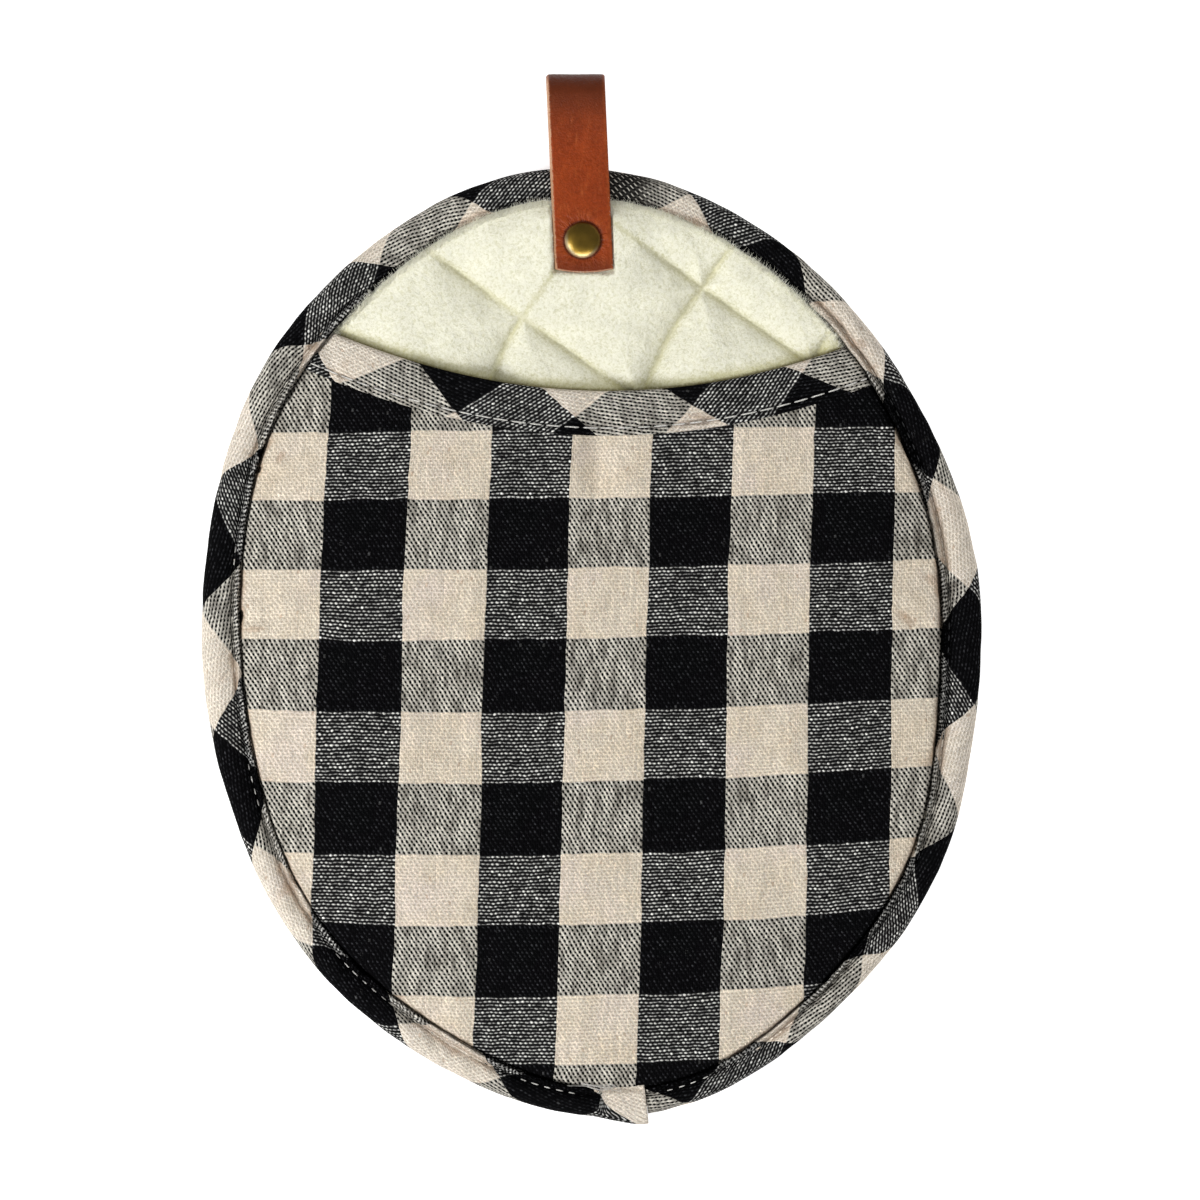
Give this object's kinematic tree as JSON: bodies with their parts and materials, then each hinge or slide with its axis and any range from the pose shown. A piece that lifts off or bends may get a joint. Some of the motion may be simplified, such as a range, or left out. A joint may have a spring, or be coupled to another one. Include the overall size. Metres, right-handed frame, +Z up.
{
  "type": "pot holder",
  "caption": "Oval quilted pot holder with a gingham hand pocket, bias bound rim and mouth, and a riveted leather hanging loop, lying on its back.",
  "frame": {"origin": "on the surface the pot holder lies on, under the middle of its outline", "axes": "+X to the right across the face, +Y along its height towards the hanging loop, +Z up out of the face"},
  "size_m": [0.1954, 0.2624, 0.0191],
  "materials": {
    "ivory_cloth": "brushed cotton with a short nap, quilted",
    "gingham_panel": "plain woven cotton check in black and warm cream",
    "gingham_mouth": "the same check cut on the bias, folded and stitched",
    "gingham_edge": "the same check cut on the bias, folded and stitched",
    "tan_leather": "smooth tan leather with a fine pebble and pale cut edges",
    "antique_brass": "antique brass, burnished at the rim",
    "plain_brass": "plain satin brass"
  },
  "bodies": {
    "root": {"quilted_pad": "ivory_cloth", "pocket_panel": "gingham_panel", "pocket_binding": "gingham_mouth", "edge_binding": "gingham_edge", "hanging_loop": "tan_leather", "rivet_cap": "antique_brass", "rivet_back": "plain_brass"}
  },
  "joints": []
}
